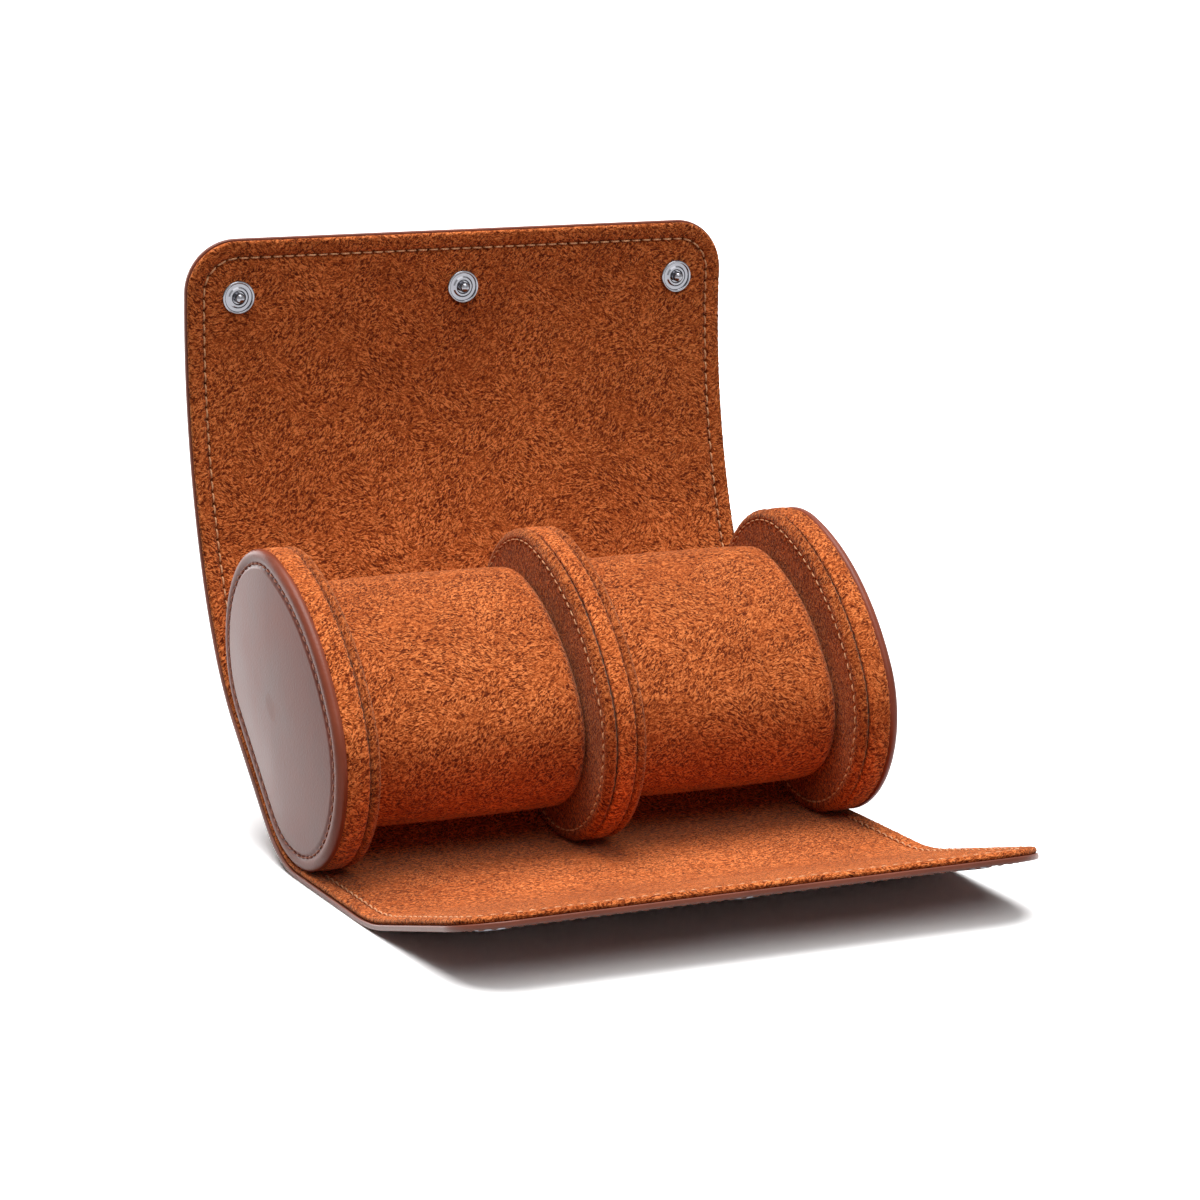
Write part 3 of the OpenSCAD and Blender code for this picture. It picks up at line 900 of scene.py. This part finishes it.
def wall_outline(step):
    """Even points round a wall, in its own plane, with outward normals."""
    gap = np.linalg.norm(HIGH_C - LOW_C)
    direction = angle_of(HIGH_C - LOW_C)
    low_reach, high_reach = BOW_R - LOW_R, BOW_R - HIGH_R
    foot = (gap ** 2 + low_reach ** 2 - high_reach ** 2) / (2 * gap)
    drop = math.sqrt(low_reach ** 2 - foot ** 2)
    forward = np.array([math.cos(direction), math.sin(direction)])
    bow_c = LOW_C + foot * forward + drop * np.array([forward[1], -forward[0]])
    low_dir, high_dir = angle_of(LOW_C - bow_c), angle_of(HIGH_C - bow_c)
    seat_dir = direction - math.acos((LOW_R - HIGH_R) / gap)
    seat_len = math.sqrt(gap ** 2 - (LOW_R - HIGH_R) ** 2)
    points, normals = [], []

    def arc(centre, r, first, last):
        n = max(2, round(abs(last - first) * r / step))
        for k in range(n):
            a = first + (last - first) * k / n
            normals.append([math.cos(a), math.sin(a)])
            points.append(centre + r * np.array(normals[-1]))

    turn = 2 * math.pi
    while low_dir > seat_dir:
        low_dir -= turn
    arc(LOW_C, LOW_R, low_dir, seat_dir)
    out = np.array([math.cos(seat_dir), math.sin(seat_dir)])
    run = np.array([-out[1], out[0]])
    n = round(seat_len / step)
    for k in range(n):
        normals.append(list(out))
        points.append(LOW_C + LOW_R * out + run * seat_len * k / n)
    while high_dir < seat_dir:
        high_dir += turn
    arc(HIGH_C, HIGH_R, seat_dir, high_dir)
    while low_dir < high_dir:
        low_dir += turn
    arc(bow_c, BOW_R, high_dir, low_dir)
    return np.array(points), np.array(normals)


WALL_P, WALL_N = wall_outline(GRID)
WALL_MIDDLE = (LOW_C + HIGH_C) / 2
WALL_COUNT = len(WALL_P)


def wall_ring(x, inset, shrink=1.0):
    """The wall's outline at x, set in and then drawn towards its middle.
    inset is one length, or one for each point."""
    plan = WALL_P - np.reshape(inset, (-1, 1)) * WALL_N
    plan = WALL_MIDDLE + (plan - WALL_MIDDLE) * shrink
    return np.concatenate([np.full((WALL_COUNT, 1), x), plan], 1)


def loft(name, rings, materials, closed=False, picks=None):
    """A skin through rings of points.  It is closed with a fan at both ends,
    or, if closed, it runs back from its last ring to its first.  picks has
    the material of the faces that start at each ring."""
    n = len(rings[0])
    if closed:
        rings = list(rings) + [rings[0]]
    points = np.concatenate(rings)
    faces = grid_faces(len(rings), n, False, 0, True)
    if closed:
        total = (len(rings) - 1) * n
        points = points[:total]
        faces = [[q % total for q in f] for f in faces]
    if picks is None:
        picks = [0] * len(faces)
    else:
        picks = [picks[f[0] // n] for f in faces]
    if not closed:
        for ring, first in ((rings[0], 0), (rings[-1], (len(rings) - 1) * n)):
            centre = len(points)
            points = np.concatenate([points, ring.mean(0)[None]])
            for k in range(n):
                faces.append([first + (k + 1) % n, first + k, centre])
                picks.append(picks[0] if first == 0 else picks[-1])
    piece = to_scene(name, points, faces, materials, picks)
    face_outward(piece)
    return piece


# The fan that closes the middle of a face begins at this share.
FAN_SHARE = 0.1


def to_middle(x_of, inset, steps):
    """Rings from an inset line in to the middle of a face.  x_of(share)
    gives x, share being 1 at that line and 0 at the middle."""
    shares = [math.sin(math.pi / 2 * k / steps) for k in range(steps, 0, -1)]
    shares = [f for f in shares[1:] if f > FAN_SHARE] + [FAN_SHARE]
    return [wall_ring(x_of(f), inset, f) for f in shares]


WALL_STITCH_PITCH = 3.1
WALL_STITCH_LEN = 2.35
WALL_RUN = np.arange(WALL_COUNT) * np.linalg.norm(WALL_P[1] - WALL_P[0])
WALL_AROUND = WALL_RUN[-1] + np.linalg.norm(WALL_P[0] - WALL_P[-1])
PUCKERS = 2 * math.pi * round(WALL_AROUND / WALL_STITCH_PITCH) / WALL_AROUND


WALL_NAP = 0.07
PILLOW_NAP = 0.05


def nappy(ring, size=WALL_NAP):
    """A ring made uneven by the nap, towards and away from its middle."""
    out = ring - ring.mean(0)
    out[:, 0] = 0
    out /= np.linalg.norm(out, axis=1)[:, None] + 1e-9
    return ring + size * rough(ring, 1.0)[:, None] * out


def pucker(size):
    """How far a sewn edge draws in between its stitches."""
    return size * (0.5 + 0.5 * np.cos(PUCKERS * WALL_RUN))


WALL_ARCH = 0.2


def ring_threads(name, x, inset, face, material, radius, lift):
    """Stitches round a wall's face, at x.  face is the way it looks along X."""
    route = wall_ring(x, inset)
    route = np.concatenate([route, route[:1]])
    _, at, run = spaced(route, WALL_STITCH_PITCH)
    u = np.linspace(-1, 1, 7)
    normal = np.tile([face, 0.0, 0.0], (len(u), 1))
    lines = []
    for a in at:
        line = on_route(a + u * WALL_STITCH_LEN / 2, route, run)
        line = line + normal * (lift + WALL_ARCH * (1 - u ** 2) - DIVE * u ** 6)[:, None]
        lines.append((line, normal))
    points, faces = stitch_mesh(lines, radius)
    return to_scene(name, points, faces, [material])


def rim_arc(radius, centre, first, last, steps):
    """A rounded rim, as (depth, inset)."""
    turn = np.radians(np.linspace(first, last, steps))
    return [(centre + radius * math.sin(a), radius - radius * math.cos(a)) for a in turn]


# A padded face, as (depth out from the band, inset, pucker): the edge next to
# the band, and the sewn line and groove inside the round rim.
PAD_EDGE = [(0.0, 1.45, 0), (0.03, 0.9, 0.35), (0.2, 0.46, 0.4), (0.5, 0.16, 0.28)]
PAD_RIM_R = 2.3
PAD_RIM_AT = 0.8
PAD_RIM_PUCKER = 0.08
PAD_SEWN = [(3.08, 2.5, 0), (3.0, 2.75, 0), (2.86, 3.0, 0),
            (2.84, 3.2, 0), (2.95, 3.45, 0), (3.06, 3.8, 0)]
PAD_HEIGHT = 3.06
PAD_CROWN = 0.1
PAD_INSET = 4.2
PAD_SEAM = (2.86, 3.1)


def padded_wall_face(name, at, face, node):
    """A suede face sewn over a wall's rim.  at is where it meets the band,
    and face the way it looks along X."""
    rim = [(d, i, PAD_RIM_PUCKER) for d, i in rim_arc(PAD_RIM_R, PAD_RIM_AT, 4, 90, 12)]
    rings = [wall_ring(at + face * d, i + pucker(p)) for d, i, p in PAD_EDGE + rim + PAD_SEWN]
    rings += to_middle(lambda f: at + face * (PAD_HEIGHT + PAD_CROWN * math.sin(math.pi * f)),
                       PAD_INSET, 22)
    piece = loft(name, [nappy(ring) for ring in rings], [SUEDE_FACE_PAINTED_SHADE])
    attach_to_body(piece, "case")
    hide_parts(node)
    depth, inset = PAD_SEAM
    thread = ring_threads("stitches_" + name, at + face * depth, inset, face, THREAD, 0.24, 0.1)
    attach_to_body(thread, "case")


# The band's edges turn in this far, its middle swells and its edges pucker.
BAND_TURN_IN = 1.45
BAND_FALL = 0.75
BAND_SWELL = 0.06
BAND_PUCKER = 0.3


def suede_band(name, first, last, node):
    """The strip of suede round a wall's rim."""
    half = (last - first) / 2
    middle = (first + last) / 2
    rings = [wall_ring(first, BAND_TURN_IN)]
    for a in np.radians(np.linspace(-90, 90, 15)):
        inset = BAND_FALL * (1 - math.cos(a) ** 0.6) - BAND_SWELL
        inset = inset + pucker(BAND_PUCKER * abs(math.sin(a)) ** 6)
        rings.append(wall_ring(middle + half * math.sin(a), inset))
    rings.append(wall_ring(last, BAND_TURN_IN))
    piece = loft(name, [nappy(ring) for ring in rings], [SUEDE_WALL_PAINTED_LIT], closed=True)
    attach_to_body(piece, "case")
    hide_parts(node)


# The rolled edge of the leather face, as (depth in from the face, inset),
# and the sewn groove inside it.
ROLL = [(3.6, 1.45), (3.2, 0.7), (2.85, 0.3), (2.5, 0.08), (2.1, 0), (1.7, 0.04), (1.3, 0.18),
        (0.95, 0.4), (0.62, 0.72), (0.36, 1.12), (0.2, 1.6), (0.14, 2.1), (0.17, 2.6),
        (0.26, 3.0), (0.4, 3.35)]
GROOVE_RINGS = [(0.54, 3.6), (0.62, 3.85), (0.62, 4.15), (0.52, 4.4), (0.36, 4.65), (0.2, 4.95)]
PULLED = (3.2, 4.7)
FACE_PULL = 0.12
FACE_INSET = 5.3
FACE_EDGE = 0.05
FACE_CROWN = 2.0
FACE_SEAM = (0.62, 3.95)


def leather_face(name, outer, face, nodes):
    """The leather over the outside of an end wall: a rolled edge, a sewn
    groove and a padded, crowned middle."""
    rings = []
    for depth, inset in ROLL + GROOVE_RINGS:
        pull = pucker(FACE_PULL) if PULLED[0] < inset < PULLED[1] else 0
        rings.append(wall_ring(outer - face * depth, inset + pull))
    rings += to_middle(lambda f: outer - face * (FACE_EDGE - FACE_CROWN * (1 - f ** 2.1)),
                       FACE_INSET, 26)
    picks = [1] * len(ROLL) + [0] * (len(rings) - len(ROLL))
    piece = loft(name, rings, [LEATHER_PLAIN, LEATHER_ROLL], picks=picks)
    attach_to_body(piece, "case")
    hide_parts(*nodes)
    depth, inset = FACE_SEAM
    thread = ring_threads("stitches_" + name, outer - face * depth, inset, face,
                          THREAD_DARK, 0.26, 0.12)
    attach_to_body(thread, "case")


BAND_GAP = 0.15

for side, name in ((-1, "left"), (1, "right")):
    outer = side * CASE_W / 2
    leather_face(name + "_leather", outer, side, [name + "_face", name + "_welt"])
    inner_edge = outer - side * (END_T - RIM_T)
    ends = sorted([outer - side * (FACE_T + BAND_GAP), inner_edge + side * SEAM])
    suede_band(name + "_suede_band", *ends, name + "_band")
    padded_wall_face(name + "_suede_face", inner_edge, -side, name + "_inner")

half = DIVIDER_T / 2 - RIM_T
suede_band("divider_suede_band", SEAM - half, half - SEAM, "divider_band")
padded_wall_face("divider_suede_right", half, 1, "divider_right")
padded_wall_face("divider_suede_left", -half, -1, "divider_left")

# ---------------------------------------------------------- the pillows

BAY_W = (CASE_W - 2 * END_T - DIVIDER_T) / 2
PILLOW_LEN = BAY_W - 2 * PILLOW_PLAY
PILLOW_EDGE_R = 4.5
PILLOW_SWELL = 0.45
PILLOW_WAVES = 0.12
SLEEVE_TURN = 9
# The sleeve's rolled hem on the pillow's end, as (depth, less inset).
HEM = [(1.1, 0), (0.5, 0.2), (0.12, 0.8), (0, 1.8)]
# The cap inside the hem, as (depth, further inset), and its crown.
CAP_GAP = 0.15
CAP_EDGE = [(1.2, 0), (0.6, 0), (0.42, 0.4)]
CAP_DEPTH = 0.2
CAP_DISH = 0.2


def pillow(name, middle, body):
    """A stuffed tube whose sleeve turns in over its ends, where a cap is."""
    low = middle - PILLOW_LEN / 2
    profile = [(d, STRAP_GAP + SLEEVE_TURN - less) for d, less in HEM]
    for a in np.radians(np.linspace(0, 90, 12)):
        profile.append((PILLOW_EDGE_R * (1 - math.sin(math.pi / 2 - a)),
                        STRAP_GAP + PILLOW_EDGE_R * (1 - math.sin(a))))
    full = [(low + d, i) for d, i in profile]
    for d in np.linspace(PILLOW_EDGE_R, PILLOW_LEN - PILLOW_EDGE_R, 46)[1:-1]:
        share = (d - PILLOW_EDGE_R) / (PILLOW_LEN - 2 * PILLOW_EDGE_R)
        full.append((low + d, STRAP_GAP - PILLOW_SWELL * math.sin(math.pi * share) ** 0.5))
    full += [(low + PILLOW_LEN - d, i) for d, i in reversed(profile)]
    soft = PILLOW_WAVES * np.sin(WALL_RUN / 9 + middle) * np.sin(WALL_RUN / 23)
    rings = [nappy(wall_ring(x, i + soft), PILLOW_NAP) for x, i in full]
    sleeve = loft(name + "_sleeve", rings, [SUEDE_PILLOW])
    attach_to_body(sleeve, body)
    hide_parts(name + "_sleeve", name + "_core")
    for end, face in ((low, -1), (low + PILLOW_LEN, 1)):
        inset = STRAP_GAP + SLEEVE_TURN + CAP_GAP
        rings = [wall_ring(end - face * d, inset + more) for d, more in CAP_EDGE]
        rings += to_middle(lambda f, e=end, s=face: e - s * (CAP_DEPTH + CAP_DISH * f ** 2),
                           inset + CAP_EDGE[-1][1], 8)
        cap = loft(f"{name}_cap_{'left' if face < 0 else 'right'}", rings, [SUEDE_PILLOW])
        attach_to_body(cap, body)
        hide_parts(name + "_caps")


BAY_X = DIVIDER_T / 2 + BAY_W / 2
pillow("pillow_left", -BAY_X, "pillow_left")
pillow("pillow_right", BAY_X, "pillow_right")

# ------------------------------------------- the CAD model's own pieces

def dress(node, material):
    """Gives one of the CAD model's own pieces its material."""
    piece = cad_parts[node]
    piece.data.materials.clear()
    piece.data.materials.append(material)


for place in ("left", "middle", "right"):
    dress("stud_" + place, METAL)
    dress("stud_back_" + place, METAL)
    dress("socket_" + place, METAL_DARK)
    dress("socket_back_" + place, METAL_DARK)
    dress("socket_spring_" + place, METAL)
for wall in ("left", "right", "divider"):
    dress(wall + "_core", BOARD)

# ---------------------------------------------------- floor and lights

def seen_rays(nodes, links):
    """1 for rays that show the background: seen, mirrored or through glass."""
    rays = nodes.new("ShaderNodeLightPath")
    seen = math_node(nodes, links, "ADD", rays.outputs["Is Camera Ray"], rays.outputs["Is Glossy Ray"])
    return math_node(nodes, links, "ADD", seen, rays.outputs["Is Transmission Ray"], True)


# The floor's colour where it is seen, where only its shadow shows, and the
# colour that lights the object.
FLOOR_WHITE = 1.5
FLOOR_BOUNCE = 0.12
FLOOR_HALF = 6000


def make_floor():
    """A white floor that keeps its shadow, and throws back little light."""
    material, nodes, links, shader = new_material("floor")
    shader.inputs["Base Color"].default_value = (FLOOR_BOUNCE, FLOOR_BOUNCE, FLOOR_BOUNCE, 1)
    shader.inputs["Roughness"].default_value = 1
    shader.inputs["Specular IOR Level"].default_value = 0
    seen = nodes.new("ShaderNodeBsdfDiffuse")
    seen.inputs["Color"].default_value = (FLOOR_WHITE, FLOOR_WHITE, FLOOR_WHITE, 1)
    mix = nodes.new("ShaderNodeMixShader")
    links.new(seen_rays(nodes, links), mix.inputs[0])
    links.new(shader.outputs[0], mix.inputs[1])
    links.new(seen.outputs[0], mix.inputs[2])
    links.new(mix.outputs[0], nodes["Material Output"].inputs["Surface"])
    far = FLOOR_HALF
    corners = [(-far, -far, 0), (far, -far, 0), (far, far, 0), (-far, far, 0)]
    floor = to_scene("floor", corners, [[0, 1, 2, 3]], [material])


def make_sun(name, toward, strength, spread):
    """A soft light from a direction, the same all over the scene."""
    data = bpy.data.lights.new(name, "SUN")
    data.energy = strength
    data.angle = math.radians(spread)
    sun = bpy.data.objects.new(name, data)
    sun.rotation_euler = Vector(toward).to_track_quat("Z", "Y").to_euler()
    bpy.context.scene.collection.objects.link(sun)


def make_world(level):
    """A white room where it is seen or reflected, and a dim even light."""
    world = bpy.data.worlds.new("room")
    bpy.context.scene.world = world
    world.use_nodes = True
    nodes, links = world.node_tree.nodes, world.node_tree.links
    background = nodes["Background"]
    background.inputs["Color"].default_value = (1, 1, 1, 1)
    strength = math_node(nodes, links, "MULTIPLY", seen_rays(nodes, links), 1 - level)
    links.new(math_node(nodes, links, "ADD", strength, level), background.inputs["Strength"])


WORLD_LEVEL = 0.045
# Each lamp: name, direction towards it, strength, and spread in degrees.
SUNS = [("overhead", (-0.05, 0.08, 1), 3.8, 46),
        ("front", (-0.02, -0.75, 1), 1.0, 44),
        ("behind", (-0.14, 0.98, 0.02), 1.25, 34)]

make_floor()
make_world(WORLD_LEVEL)
for sun in SUNS:
    make_sun(*sun)

view = bpy.context.scene.view_settings
view.view_transform = "Standard"
